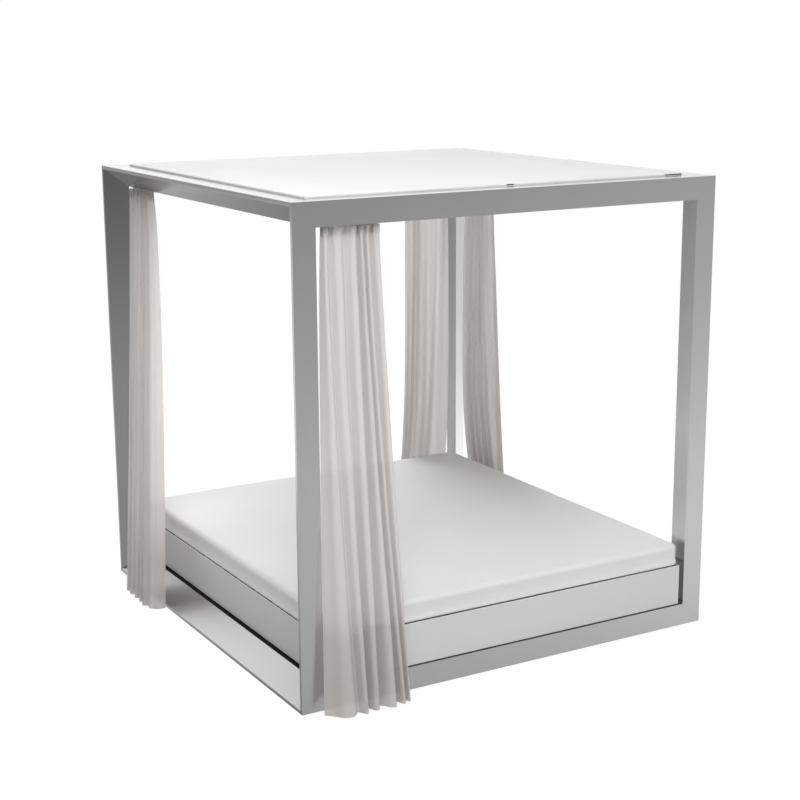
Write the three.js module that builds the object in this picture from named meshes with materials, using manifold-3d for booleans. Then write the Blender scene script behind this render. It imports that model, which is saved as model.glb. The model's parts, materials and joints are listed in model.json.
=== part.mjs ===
// Outdoor daybed: a cube frame of mitred hollow members, a flat fabric roof, a mattress
// on a panelled base, and one gathered curtain on a track on each side.
// Millimetres, +Z up, front towards -Y, origin on the floor under the frame's centre.

import * as THREE from 'three';
import { mergeVertices } from 'three/addons/utils/BufferGeometryUtils.js';
import Module from 'manifold-3d';

const wasm = await Module();
wasm.setup();

// Overall size
const frameWidth = 2060;
const frameDepth = 2060;
const frameHeight = 2060;

// Clearances
const seatGap = 0.3; // between pieces that rest on or are cut by each other
const cutOverrun = 5; // how far a cutter reaches past what it cuts

// Frame members
const faceWidth = 100; // face of the front and back rings, height of the side members
const revealDepth = 92; // depth of the front and back rings
const landShare = 0.16; // flat outer edge of a side member, as a share of its face
const memberWall = 4;

// Corner connectors
const connectorFit = 0.8;
const connectorReach = 170;
const connectorLap = 0.05; // how far its arms run into each other where they meet

// Foot pads
const padRadius = 30;
const padProud = 3;
const padStemRadius = 6;
const padStemRise = 8; // above the rail's bottom wall
const padInset = 230; // from the frame's outer side

// Curtain tracks and what runs in them
const trackWidth = 22;
const trackHeight = 20;
const trackWall = 2;
const trackSlot = 8;
const stopLength = 14;
const gliderCount = 7;
const gliderLength = 20;
const gliderHeadWidth = 15;
const gliderHeadHeight = 9;
const gliderStemWidth = 5;
const gliderDrop = 4; // from the track down to the heading tape
const stemLap = 1.5; // how far a stem runs down over the tape
const tapeThickness = 2;
const tapeHeight = 40;

// Curtains
const curtainThickness = 3;
const tapeGap = 0.6; // between the sheet and the heading tape that it is gathered on
const curtainHemClearance = 6;
const topFoldDepth = 11; // from a fold's middle to its crest at the heading
const stepsPerFold = 3; // between one crest or valley and the next
const curtainRows = 8;

// Base panels and the structure inside them
const baseSideGap = 20; // from the side rails' inner faces to the panels
const baseFrontInset = 8;
const baseBackInset = 85;
const panelThickness = 6;
const panelSeam = 3; // shadow line over the rails
const joistWidth = 50;
const joistWall = 3;
const slatCount = 11;
const slatWidth = 110;
const slatThickness = 18;
const strapWidth = 30; // the straps that keep the slats apart
const strapThickness = 2;
const ledgerLeg = 40;
const ledgerThickness = 4;
const ledgerEndGap = 36; // from the side rails' inner faces
const closerDrop = 3; // shadow strip below the rail's top
const closerThickness = 3;
const closerLeg = 40;
const closerReach = 33;

// Mattress
const mattressBottom = 292;
const mattressHeight = 103;
const mattressCrown = 5;
const mattressSideSetback = 1; // from the base's sides
const mattressFrontSetback = 3;
const mattressBackSetback = 10;
const mattressCornerRadius = 30;
const mattressEdgeRadius = 24;
const mattressDrawIn = 4;
const cornerSteps = 4;
const sideSteps = 4;
// The crown's rings: inset from the edge's rounding to the middle, and rise of the crown there.
const crownShares = [[0, 0], [0.08, 0.5], [0.45, 0.9]];

// Roof
const roofSideGap = 2; // from the side beams' inner faces to the roof's edges
const roofEndGap = 10; // the same at the front and back beams
const roofRise = 10; // above the frame
const roofSkirt = 22; // height of the turned-down edge
const roofFabricThickness = 2.5;
const roofRailWidth = 40;
const roofRailHeight = 40;
const roofRailWall = 3;
const crossBarCount = 2;
const crossBarWidth = 40;
const crossBarHeight = 25;
const roofLedgeDrop = 30;
const roofLedgeReach = 36;
const drainHeight = 5;
const drainLip = 3; // from the roof's top down to a drain slot
const drains = [
  { name: 'right', fromRightSide: 155, length: 90 },
  { name: 'middle', fromRightSide: 1010, length: 34 },
];

// Each side's curtain, measured along its track from the end where it is gathered. The hem's
// two ends shift along by these lengths, and its middle line stands outside the frame by hemOut.
const curtains = {
  front: { parkGap: 42, topWidth: 254, startShift: -44, endShift: 56, hemOut: 100, hemFold: 40 },
  left: { parkGap: 25, topWidth: 268, startShift: 166, endShift: 250, hemOut: 66, hemFold: 27 },
  back: { parkGap: 28, topWidth: 266, startShift: 0, endShift: 0, hemOut: 100, hemFold: 40 },
  right: { parkGap: 106, topWidth: 256, startShift: -45, endShift: -92, hemOut: 66, hemFold: 27 },
};

// Where each side lies: its quarter turns from the front, and the end of its track, seen from
// outside, where the curtain is gathered.
const sideTurns = {
  front: { turn: 0, end: -1 },
  left: { turn: -1, end: -1 },
  back: { turn: 2, end: -1 },
  right: { turn: 1, end: 1 },
};

// How early each edge of a curtain shifts along and flares out on its way down, as powers of the
// share of the height.
const edgeShares = {
  front: { startSlant: 0.3, endSlant: 1.2, startFlare: 1, endFlare: 1 },
  left: { startSlant: 1, endSlant: 0.8, startFlare: 1.1, endFlare: 1.1 },
  back: { startSlant: 1, endSlant: 1, startFlare: 5, endFlare: 5 },
  right: { startSlant: 2, endSlant: 2, startFlare: 5, endFlare: 1.2 },
};

// Crests and valleys, as [place, reach] at the heading and then at the hem: shares of the sheet's
// width and of the fold depth there.
const wideFoldShares = [
  [0, -1, 0, -1.9], [-0.01, 0.2, -0.06, -0.6], [0.05, 1, 0.03, 0.45], [0.13, 0.6, 0.13, 0.35],
  [0.25, -1, 0.25, -0.75], [0.33, 0.9, 0.33, 0.15], [0.4, -0.9, 0.4, -0.6], [0.46, 1, 0.46, 0.6],
  [0.53, -0.9, 0.53, -0.5], [0.6, 1, 0.6, 1], [0.7, -0.8, 0.7, -0.2], [0.77, 0.8, 0.77, 0.4],
  [0.84, -0.9, 0.84, -0.45], [0.91, 0.9, 0.91, 0.1], [1, -0.9, 1, -0.7],
];
const evenFoldShares = [
  [0, -1, 0, -1.2], [0.06, 1, 0.06, 0.6], [0.14, -0.9, 0.14, -0.8], [0.22, 1, 0.22, 0.7],
  [0.31, -0.9, 0.31, -0.7], [0.4, 0.9, 0.4, 0.8], [0.49, -1, 0.49, -0.8], [0.57, 0.9, 0.57, 0.7],
  [0.65, -0.9, 0.65, -0.8], [0.73, 1, 0.73, 1], [0.8, -0.4, 0.8, 0.2], [0.88, 0.9, 0.88, 0.5],
  [0.97, 0.2, 0.97, -0.4], [1, -0.9, 1, -2],
];
const foldShares = {
  front: wideFoldShares, left: evenFoldShares, back: wideFoldShares, right: evenFoldShares,
};

// Heights and depths that follow from the sizes above
const frameBottom = padProud;
const railTop = frameBottom + faceWidth;
const beamBottom = frameHeight - faceWidth;
const halfWidth = frameWidth / 2;
const halfDepth = frameDepth / 2;
const halfHeight = (frameHeight - frameBottom) / 2;
const middleHeight = (frameBottom + frameHeight) / 2;
const memberDepth = { x: faceWidth, y: revealDepth, z: faceWidth };
const sideLand = landShare * faceWidth;
const postLand = landShare * revealDepth;
const grooveWidth = trackWidth + 2 * seatGap;
const grooveDepth = trackHeight + seatGap;

// Materials
const finish = {
  frame: { color: 0xb9bbbd, roughness: 0.24, metalness: 0.95 },
  casting: { color: 0x8d9092, roughness: 0.5, metalness: 0.8 },
  track: { color: 0xd3d5d6, roughness: 0.4, metalness: 0.8 },
  plastic: { color: 0xe8e8e6, roughness: 0.5, metalness: 0 },
  pad: { color: 0x1e1f20, roughness: 0.8, metalness: 0 },
  panel: { color: 0xc9cacb, roughness: 0.35, metalness: 0.3 },
  structure: { color: 0xa4a7a9, roughness: 0.5, metalness: 0.8 },
  slat: { color: 0x43382f, roughness: 0.7, metalness: 0 },
  shadow: { color: 0x0a0a0b, roughness: 0.85, metalness: 0 },
  mattress: { color: 0xe9e9e8, roughness: 0.75, metalness: 0 },
  roof: { color: 0xf1f1f0, roughness: 0.7, metalness: 0 },
  curtain: { color: 0xb9b6b2, roughness: 0.85, metalness: 0 },
  tape: { color: 0xc9c6c2, roughness: 0.8, metalness: 0 },
};

function addMesh(parent, name, geometry, look) {
  const mesh = new THREE.Mesh(geometry, new THREE.MeshStandardMaterial({ ...finish[look] }));
  mesh.name = name;
  parent.add(mesh);
  return mesh;
}

// Sections and prisms. An outline is a list of [a, b] points: x, y for a prism along z,
// y, z along x, and x, z along y.

function rectangle(a0, b0, a1, b1) {
  return [[a0, b0], [a1, b0], [a1, b1], [a0, b1]];
}

function signedArea(outline) {
  return THREE.ShapeUtils.area(outline.map(([x, y]) => new THREE.Vector2(x, y)));
}

// Moves every edge of an outline inwards by the same distance.
function inset(outline, distance) {
  const points = signedArea(outline) > 0 ? outline : [...outline].reverse();
  const count = points.length;
  const edges = points.map((from, i) => {
    const to = points[(i + 1) % count];
    const along = new THREE.Vector2(to[0] - from[0], to[1] - from[1]).normalize();
    const start = new THREE.Vector2(from[0] - along.y * distance, from[1] + along.x * distance);
    return { along, start };
  });
  return edges.map((edge, i) => {
    const before = edges[(i + count - 1) % count];
    const cross = before.along.cross(edge.along);
    const reach = edge.start.clone().sub(before.start).cross(edge.along) / cross;
    const corner = before.start.clone().addScaledVector(before.along, reach);
    return [corner.x, corner.y];
  });
}

function prism(axis, from, to, outline, holes = []) {
  const toVectors = (points) => points.map(([a, b]) => new THREE.Vector2(a, b));
  const shape = new THREE.Shape(toVectors(outline));
  shape.holes = holes.map((hole) => new THREE.Path(toVectors(hole)));
  const geometry = new THREE.ExtrudeGeometry(shape, { depth: to - from, bevelEnabled: false });
  const x = new THREE.Vector3(1, 0, 0);
  const y = new THREE.Vector3(0, 1, 0);
  const z = new THREE.Vector3(0, 0, 1);
  const placing = new THREE.Matrix4();
  if (axis === 'x') placing.makeBasis(y, z, x).setPosition(from, 0, 0);
  if (axis === 'y') placing.makeBasis(x, z, y.clone().negate()).setPosition(0, to, 0);
  if (axis === 'z') placing.setPosition(0, 0, from);
  return geometry.applyMatrix4(placing);
}

function tube(axis, from, to, outline, wall) {
  return prism(axis, from, to, outline, [inset(outline, wall)]);
}

function box(x0, x1, y0, y1, z0, z1) {
  return prism('z', z0, z1, rectangle(x0, y0, x1, y1));
}

function upright(radius, bottom, top) {
  const sides = 16;
  const cylinder = new THREE.CylinderGeometry(radius, radius, top - bottom, sides);
  return cylinder.rotateX(Math.PI / 2).translate(0, 0, (top + bottom) / 2);
}

// Solids for cutting and joining

function toSolid(geometry) {
  const plain = geometry.clone();
  plain.deleteAttribute('normal');
  plain.deleteAttribute('uv');
  const merged = mergeVertices(plain);
  return new wasm.Manifold(new wasm.Mesh({
    numProp: 3,
    vertProperties: new Float32Array(merged.attributes.position.array),
    triVerts: new Uint32Array(merged.index.array),
  }));
}

function toGeometry(solid) {
  const mesh = solid.getMesh();
  const geometry = new THREE.BufferGeometry();
  geometry.setAttribute('position', new THREE.BufferAttribute(mesh.vertProperties, 3));
  geometry.setIndex(new THREE.BufferAttribute(mesh.triVerts, 1));
  geometry.computeVertexNormals();
  return geometry;
}

function joined(geometries) {
  return toGeometry(geometries.map(toSolid).reduce((whole, piece) => whole.add(piece)));
}

// At a frame corner three members meet on planes through the outer and inner corner points.
// A member keeps the side where it lies further along its own axis than across it.
function mitred(solid, axis, corner, gap) {
  let cut = solid;
  for (const across of ['x', 'y', 'z'].filter((name) => name !== axis)) {
    const normal = new THREE.Vector3();
    normal[axis] = -Math.sign(corner[axis]) / memberDepth[axis];
    normal[across] = Math.sign(corner[across]) / memberDepth[across];
    normal.normalize();
    const point = new THREE.Vector3(corner.x, corner.y, corner.z + middleHeight);
    cut = cut.trimByPlane(normal.toArray(), normal.dot(point) + gap);
  }
  return cut;
}

// Corners are written from the middle of the frame's height, so that their signs point outwards.
function cornerAt(signX, signY, signZ) {
  return new THREE.Vector3(signX * halfWidth, signY * halfDepth, signZ * halfHeight);
}

function member(axis, ends, length, outline, cutters = []) {
  let solid = toSolid(tube(axis, length[0], length[1], outline, memberWall));
  for (const corner of ends) {
    solid = mitred(solid, axis, corner, seatGap / 2);
  }
  for (const cutter of cutters) {
    solid = solid.subtract(toSolid(cutter));
  }
  return toGeometry(solid);
}

// Member outlines for the front and left of the frame; signX mirrors a post to the right.

function postOutline(signX) {
  const outer = signX * halfWidth;
  const inner = signX * (halfWidth - faceWidth);
  return [
    [outer, -halfDepth],
    [inner, -halfDepth],
    [inner, -halfDepth + revealDepth],
    [outer, -halfDepth + postLand],
  ];
}

function frontBeamOutline() {
  const grooveFront = -halfDepth + (revealDepth - grooveWidth) / 2;
  const grooveBack = grooveFront + grooveWidth;
  return [
    [-halfDepth, frameHeight],
    [-halfDepth, beamBottom],
    [grooveFront, beamBottom],
    [grooveFront, beamBottom + grooveDepth],
    [grooveBack, beamBottom + grooveDepth],
    [grooveBack, beamBottom],
    [-halfDepth + revealDepth, beamBottom],
    [-halfDepth + revealDepth, frameHeight],
  ];
}

function frontRailOutline() {
  return rectangle(-halfDepth, frameBottom, -halfDepth + revealDepth, railTop);
}

function leftBeamOutline() {
  return [
    [-halfWidth, frameHeight],
    [-halfWidth, frameHeight - sideLand],
    [-halfWidth + faceWidth, beamBottom],
    [-halfWidth + faceWidth, frameHeight],
  ];
}

function leftRailOutline() {
  return [
    [-halfWidth, frameBottom],
    [-halfWidth + faceWidth, frameBottom],
    [-halfWidth + faceWidth, railTop],
    [-halfWidth, frameBottom + sideLand],
  ];
}

// The whole of a connector arm's room inside a member. Over a track groove it is cut short.
function armOutline(outline, axis, top) {
  const grooved = axis === 'x' && top;
  const room = grooved
    ? rectangle(-halfDepth, beamBottom + grooveDepth, -halfDepth + revealDepth, frameHeight)
    : outline;
  return inset(room, memberWall + connectorFit);
}

function connector(signX, signZ) {
  const corner = cornerAt(signX, -1, signZ);
  const top = signZ > 0;
  const mirrored = ([x, z]) => [-signX * x, z];
  const arms = [
    { axis: 'x', outline: top ? frontBeamOutline() : frontRailOutline() },
    { axis: 'y', outline: (top ? leftBeamOutline() : leftRailOutline()).map(mirrored) },
    { axis: 'z', outline: postOutline(signX) },
  ];
  const middle = new THREE.Vector3(0, 0, middleHeight);
  const solids = arms.map(({ axis, outline }) => {
    const tip = corner.clone().add(middle)[axis];
    const end = tip - Math.sign(corner[axis]) * connectorReach;
    const room = armOutline(outline, axis, top);
    const arm = toSolid(prism(axis, Math.min(tip, end), Math.max(tip, end), room));
    return mitred(arm, axis, corner, -connectorLap);
  });
  return toGeometry(solids.reduce((whole, arm) => whole.add(arm)));
}

// The front and left members; turned half way round they make the back and the right.
function addHalfFrame(part, front, left, right, turn) {
  const half = new THREE.Group();
  half.rotation.z = turn;
  part.add(half);
  const acrossX = [-halfWidth, halfWidth];
  const acrossY = [-halfDepth, halfDepth];
  const upwards = [frameBottom, frameHeight];
  const padHoles = [-1, 1].map((sign) => {
    const { x, y } = padPlace(sign);
    const top = frameBottom + memberWall + cutOverrun;
    return upright(padStemRadius + seatGap, frameBottom - cutOverrun, top).translate(x, y, 0);
  });
  for (const [name, sign] of [[left, -1], [right, 1]]) {
    const ends = [cornerAt(sign, -1, -1), cornerAt(sign, -1, 1)];
    addMesh(half, `post_${front}_${name}`, member('z', ends, upwards, postOutline(sign)), 'frame');
    addMesh(half, `connector_top_${front}_${name}`, connector(sign, 1), 'casting');
    addMesh(half, `connector_bottom_${front}_${name}`, connector(sign, -1), 'casting');
    addMesh(half, `foot_pad_${front}_${name}`, footPad(), 'pad').position.copy(padPlace(sign));
  }
  const topX = [cornerAt(-1, -1, 1), cornerAt(1, -1, 1)];
  const topY = [cornerAt(-1, -1, 1), cornerAt(-1, 1, 1)];
  const lowX = [cornerAt(-1, -1, -1), cornerAt(1, -1, -1)];
  const lowY = [cornerAt(-1, -1, -1), cornerAt(-1, 1, -1)];
  addMesh(half, `top_beam_${front}`, member('x', topX, acrossX, frontBeamOutline()), 'frame');
  addMesh(half, `top_beam_${left}`, member('y', topY, acrossY, leftBeamOutline()), 'frame');
  addMesh(half, `bottom_rail_${front}`, member('x', lowX, acrossX, frontRailOutline(), padHoles), 'frame');
  addMesh(half, `bottom_rail_${left}`, member('y', lowY, acrossY, leftRailOutline()), 'frame');
}

// A pad's disc is under the rail, and its stem stands in a hole in the rail's bottom wall.
function footPad() {
  const stemTop = frameBottom + memberWall + padStemRise;
  return joined([
    upright(padRadius, 0, frameBottom - seatGap),
    upright(padStemRadius, frameBottom / 2, stemTop),
  ]);
}

function padPlace(signX) {
  return new THREE.Vector3(signX * (halfWidth - padInset), -halfDepth + revealDepth / 2, 0);
}

// Base: ledgers on the rails carry the joists, which carry the slats and the panels.

const baseLeft = -halfWidth + faceWidth + baseSideGap;
const baseFront = -halfDepth + baseFrontInset;
const baseBack = halfDepth - baseBackInset;
const panelBottom = railTop + panelSeam;
const slatTop = mattressBottom - seatGap;
const slatBottom = slatTop - slatThickness;
const joistBottom = railTop + seatGap;
const joistTop = slatBottom - seatGap;
const joistFront = baseFront + panelThickness + seatGap;
const joistBack = baseBack - panelThickness - seatGap;
const panelTop = slatTop - seatGap;

function addBasePanels(part) {
  const right = -baseLeft;
  const inside = panelThickness + seatGap;
  const panels = {
    front: box(baseLeft, right, baseFront, baseFront + panelThickness, panelBottom, panelTop),
    back: box(baseLeft, right, baseBack - panelThickness, baseBack, panelBottom, panelTop),
    left: box(
      baseLeft, baseLeft + panelThickness,
      baseFront + inside, baseBack - inside, panelBottom, panelTop,
    ),
    right: box(
      right - panelThickness, right,
      baseFront + inside, baseBack - inside, panelBottom, panelTop,
    ),
  };
  for (const [side, geometry] of Object.entries(panels)) {
    addMesh(part, `base_panel_${side}`, geometry, 'panel');
  }
}

function addJoists(part) {
  const sideMiddle = baseLeft + panelThickness + seatGap + joistWidth / 2;
  const places = { left: sideMiddle, middle: 0, right: -sideMiddle };
  for (const [name, middle] of Object.entries(places)) {
    const outline = rectangle(middle - joistWidth / 2, joistBottom, middle + joistWidth / 2, joistTop);
    addMesh(part, `base_joist_${name}`, tube('y', joistFront, joistBack, outline, joistWall), 'structure');
  }
}

// The deck is one roll of boards on two straps.
function addSlats(part) {
  const reach = -baseLeft - panelThickness - seatGap;
  const pitch = (joistBack - joistFront - slatWidth) / (slatCount - 1);
  const slats = [];
  for (let i = 0; i < slatCount; i += 1) {
    const front = joistFront + i * pitch;
    const outline = rectangle(front, slatBottom, front + slatWidth, slatTop);
    slats.push(prism('x', -reach, reach, outline));
  }
  const strapBottom = slatBottom + (slatThickness - strapThickness) / 2;
  const straps = [-1, 1].map((sign) => {
    const middle = sign * reach / 2;
    return box(
      middle - strapWidth / 2, middle + strapWidth / 2,
      joistFront + slatWidth / 2, joistBack - slatWidth / 2,
      strapBottom, strapBottom + strapThickness,
    );
  });
  addMesh(part, 'slat_deck', joined([...slats, ...straps]), 'slat');
}

// An angle profile whose upright leg lies against a face and whose flat leg is on top.
function angleOutline(face, direction, top, leg, flat, thickness) {
  const outline = [
    [0, 0], [flat, 0], [flat, -thickness], [thickness, -thickness], [thickness, -leg], [0, -leg],
  ];
  return outline.map(([a, b]) => [face + direction * a, top + b]);
}

function addLedgers(part) {
  const reach = halfWidth - faceWidth - ledgerEndGap;
  for (const [name, direction] of [['front', 1], ['back', -1]]) {
    const face = -direction * (halfDepth - revealDepth - seatGap);
    const outline = angleOutline(face, direction, railTop, ledgerLeg, ledgerLeg, ledgerThickness);
    addMesh(part, `base_ledger_${name}`, prism('x', -reach, reach, outline), 'structure');
  }
}

function addGapClosers(part) {
  const reach = halfDepth - revealDepth - seatGap;
  for (const [name, direction] of [['left', 1], ['right', -1]]) {
    const face = -direction * (halfWidth - faceWidth - seatGap);
    const top = railTop - closerDrop;
    const outline = angleOutline(face, direction, top, closerLeg, closerReach, closerThickness);
    addMesh(part, `gap_closer_${name}`, prism('y', -reach, reach, outline), 'shadow');
  }
}

// Mattress: rings of one rounded outline, from the flat underside over the edges to the crown.

function roundedRing(halfX, halfY, radius, drawIn, z) {
  const corners = [[1, 1, 0], [-1, 1, 1], [-1, -1, 2], [1, -1, 3]];
  const ring = [];
  corners.forEach(([signX, signY, quarter], index) => {
    const centre = [signX * (halfX - radius), signY * (halfY - radius)];
    for (let i = 0; i <= cornerSteps; i += 1) {
      const angle = (quarter + i / cornerSteps) * Math.PI / 2;
      ring.push([centre[0] + radius * Math.cos(angle), centre[1] + radius * Math.sin(angle), z]);
    }
    const next = corners[(index + 1) % corners.length];
    const nextAngle = next[2] * Math.PI / 2;
    const from = ring[ring.length - 1];
    const to = [
      next[0] * (halfX - radius) + radius * Math.cos(nextAngle),
      next[1] * (halfY - radius) + radius * Math.sin(nextAngle),
    ];
    for (let i = 1; i < sideSteps; i += 1) {
      const share = i / sideSteps;
      const pull = drawIn * Math.sin(Math.PI * share);
      ring.push([
        THREE.MathUtils.lerp(from[0], to[0], share) - pull * Math.cos(nextAngle),
        THREE.MathUtils.lerp(from[1], to[1], share) - pull * Math.sin(nextAngle),
        z,
      ]);
    }
  });
  return ring;
}

// Joins rings that run anticlockwise, lowest first, and closes both ends to a middle point.
function loftedRings(rings, bottomPoint, topPoint) {
  const count = rings[0].length;
  const positions = [...rings.flat(), bottomPoint, topPoint].flat();
  const bottomIndex = rings.length * count;
  const topIndex = bottomIndex + 1;
  const last = (rings.length - 1) * count;
  const index = [];
  for (let i = 0; i < count; i += 1) {
    const next = (i + 1) % count;
    for (let row = 0; row < rings.length - 1; row += 1) {
      const a = row * count + i;
      const b = row * count + next;
      index.push(a, b, b + count, a, b + count, a + count);
    }
    index.push(bottomIndex, next, i, topIndex, last + i, last + next);
  }
  const geometry = new THREE.BufferGeometry();
  geometry.setAttribute('position', new THREE.Float32BufferAttribute(positions, 3));
  geometry.setIndex(index);
  geometry.computeVertexNormals();
  return geometry;
}

function addMattress(part) {
  const halfX = -baseLeft - mattressSideSetback;
  const front = baseFront + mattressFrontSetback;
  const back = baseBack - mattressBackSetback;
  const halfY = (back - front) / 2;
  const edge = mattressEdgeRadius;
  const slope = Math.SQRT1_2;
  const crownSteps = crownShares.map(([across, rise]) => {
    const depth = THREE.MathUtils.lerp(edge, halfX, across);
    return { inset: depth, z: mattressHeight + mattressCrown * rise, pull: 1 - across };
  });
  const profile = [
    { inset: edge / 2, z: 0, pull: 1 },
    { inset: 0, z: edge / 2, pull: 1 },
    { inset: mattressDrawIn, z: mattressHeight / 2, pull: 1 },
    { inset: 0, z: mattressHeight - edge, pull: 1 },
    { inset: edge * (1 - slope), z: mattressHeight - edge * (1 - slope), pull: 1 },
    ...crownSteps,
  ];
  const rings = profile.map(({ inset: depth, z, pull }) => {
    const radius = Math.max(mattressCornerRadius - depth, edge);
    return roundedRing(halfX - depth, halfY - depth, radius, mattressDrawIn * pull, z);
  });
  const top = [0, 0, mattressHeight + mattressCrown];
  const mattress = addMesh(part, 'mattress', loftedRings(rings, [0, 0, 0], top), 'mattress');
  mattress.position.set(0, (front + back) / 2, mattressBottom);
}

// Roof: ledges on the side beams carry a frame of rails and bars, with the fabric drawn over it.

const roofHalfX = halfWidth - faceWidth - roofSideGap;
const roofHalfY = halfDepth - revealDepth - roofEndGap;
const roofTop = frameHeight + roofRise;
const roofUnderside = roofTop - roofFabricThickness;
const roofRailTop = roofUnderside - seatGap;
const roofRailBottom = roofRailTop - roofRailHeight;
const roofRailOuterX = roofHalfX - roofFabricThickness - seatGap;
const roofRailOuterY = roofHalfY - roofFabricThickness - seatGap;

function addRoofRails(part) {
  const innerY = roofRailOuterY - roofRailWidth;
  const innerX = roofRailOuterX - roofRailWidth;
  for (const [name, sign] of [['front', -1], ['back', 1]]) {
    const outline = rectangle(sign * roofRailOuterY, roofRailBottom, sign * innerY, roofRailTop);
    const rail = tube('x', -roofRailOuterX, roofRailOuterX, outline, roofRailWall);
    addMesh(part, `roof_rail_${name}`, rail, 'structure');
  }
  for (const [name, sign] of [['left', -1], ['right', 1]]) {
    const outline = rectangle(sign * roofRailOuterX, roofRailBottom, sign * innerX, roofRailTop);
    const rail = tube('y', -innerY + seatGap, innerY - seatGap, outline, roofRailWall);
    addMesh(part, `roof_rail_${name}`, rail, 'structure');
  }
}

function addCrossBars(part) {
  const reach = roofRailOuterX - roofRailWidth - seatGap;
  const span = 2 * (roofRailOuterY - roofRailWidth);
  for (let i = 1; i <= crossBarCount; i += 1) {
    const middle = -span / 2 + span * i / (crossBarCount + 1);
    const outline = rectangle(
      middle - crossBarWidth / 2, roofRailTop - crossBarHeight,
      middle + crossBarWidth / 2, roofRailTop,
    );
    addMesh(part, `roof_cross_bar_${i}`, tube('x', -reach, reach, outline, roofRailWall), 'structure');
  }
}

function drainSlot({ fromRightSide, length }, clearance) {
  const right = halfWidth - fromRightSide + length / 2 - clearance;
  const top = roofTop - drainLip - clearance;
  return box(
    right - length + 2 * clearance, right,
    -roofHalfY - (clearance ? 0 : cutOverrun), -roofHalfY + roofFabricThickness,
    top - drainHeight + 2 * clearance, top,
  );
}

function addRoofFabric(part) {
  const bottom = roofTop - roofSkirt;
  const outer = box(-roofHalfX, roofHalfX, -roofHalfY, roofHalfY, bottom, roofTop);
  const inX = roofHalfX - roofFabricThickness;
  const inY = roofHalfY - roofFabricThickness;
  let fabric = toSolid(outer).subtract(toSolid(
    box(-inX, inX, -inY, inY, bottom - cutOverrun, roofUnderside),
  ));
  for (const drain of drains) {
    fabric = fabric.subtract(toSolid(drainSlot(drain, 0)));
    addMesh(part, `roof_drain_${drain.name}`, drainSlot(drain, seatGap), 'shadow');
  }
  addMesh(part, 'roof_fabric', toGeometry(fabric), 'roof');
}

function addRoofLedges(part) {
  const reach = halfDepth - revealDepth - seatGap;
  for (const [name, direction] of [['left', 1], ['right', -1]]) {
    const face = -direction * (halfWidth - faceWidth - seatGap);
    const top = roofRailBottom - seatGap;
    const outline = angleOutline(face, direction, top, roofLedgeDrop, roofLedgeReach, ledgerThickness);
    addMesh(part, `roof_ledge_${name}`, prism('y', -reach, reach, outline), 'structure');
  }
}

// Curtains. Each side is built as if it were the front, with the frame's outer face at
// -outerFace and the opening from -opening to opening along x, and then turned into place.

function sideSizes(turn) {
  const across = turn % 2 !== 0;
  return {
    outerFace: across ? halfWidth : halfDepth,
    opening: across ? halfDepth - revealDepth : halfWidth - faceWidth,
    trackInset: across ? faceWidth + seatGap + trackWidth / 2 : revealDepth / 2,
  };
}

function trackOutline(middle) {
  const outer = trackWidth / 2;
  const inner = outer - trackWall;
  const slot = trackSlot / 2;
  const top = beamBottom + trackHeight;
  const points = [
    [-outer, beamBottom], [-slot, beamBottom], [-slot, beamBottom + trackWall],
    [-inner, beamBottom + trackWall], [-inner, top - trackWall], [inner, top - trackWall],
    [inner, beamBottom + trackWall], [slot, beamBottom + trackWall], [slot, beamBottom],
    [outer, beamBottom], [outer, top], [-outer, top],
  ];
  return points.map(([y, z]) => [middle + y, z]);
}

const tapeTop = beamBottom - gliderDrop;

// A glider's head runs on the track's lips, and its stem reaches down to the heading tape.
function gliderOutline(middle) {
  const head = gliderHeadWidth / 2;
  const stem = gliderStemWidth / 2;
  const seat = beamBottom + trackWall + seatGap;
  const bottom = tapeTop - stemLap;
  const points = [
    [-stem, bottom], [stem, bottom], [stem, seat], [head, seat],
    [head, seat + gliderHeadHeight], [-head, seat + gliderHeadHeight], [-head, seat], [-stem, seat],
  ];
  return points.map(([y, z]) => [middle + y, z]);
}

// A track is closed by a stop at each end.
function track(middle, opening) {
  const half = trackWidth / 2 - trackWall;
  const outside = opening - seatGap;
  const inside = outside - stopLength;
  const stops = [[-outside, -inside], [inside, outside]].map(([from, to]) => box(
    from, to, middle - half, middle + half, beamBottom, beamBottom + trackHeight - trackWall,
  ));
  return joined([prism('x', -outside, outside, trackOutline(middle)), ...stops]);
}

// The middle line of a curtain at one level, as distances along the track and out of the frame.
function curtainLine(place, down) {
  const { lerp, smoothstep } = THREE.MathUtils;
  const startShift = place.startShift * down ** place.startSlant;
  const endShift = place.endShift * down ** place.endSlant;
  const turns = place.folds.map(([topPlace, topReach, hemPlace, hemReach]) => ({
    share: lerp(topPlace, hemPlace, down),
    reach: lerp(topReach * topFoldDepth, hemReach * place.hemFold, down),
  }));
  const line = [];
  turns.forEach((from, index) => {
    const to = turns[index + 1] ?? from;
    const steps = to === from ? 1 : stepsPerFold;
    for (let i = 0; i < steps; i += 1) {
      const share = lerp(from.share, to.share, i / steps);
      const inside = THREE.MathUtils.clamp(share, 0, 1);
      const flare = down ** lerp(place.startFlare, place.endFlare, inside);
      const along = place.topStart + place.topWidth * share + lerp(startShift, endShift, share);
      const reach = lerp(from.reach, to.reach, smoothstep(i / steps, 0, 1));
      line.push([along, lerp(place.topOut, place.hemOut, flare) + reach]);
    }
  });
  return line;
}

// One level of a curtain: its middle line, thickened to both sides.
function curtainLevel(sizes, place, down) {
  const half = curtainThickness / 2;
  const line = curtainLine(place, down).map(([along, out]) => (
    new THREE.Vector2(along, -sizes.outerFace - out)
  ));
  const side = (sign) => line.map((point, i) => {
    const before = line[Math.max(i - 1, 0)];
    const after = line[Math.min(i + 1, line.length - 1)];
    const along = after.clone().sub(before).normalize();
    return [point.x - sign * along.y * half, point.y + sign * along.x * half];
  });
  return { front: side(-1), back: side(1) };
}

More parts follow.
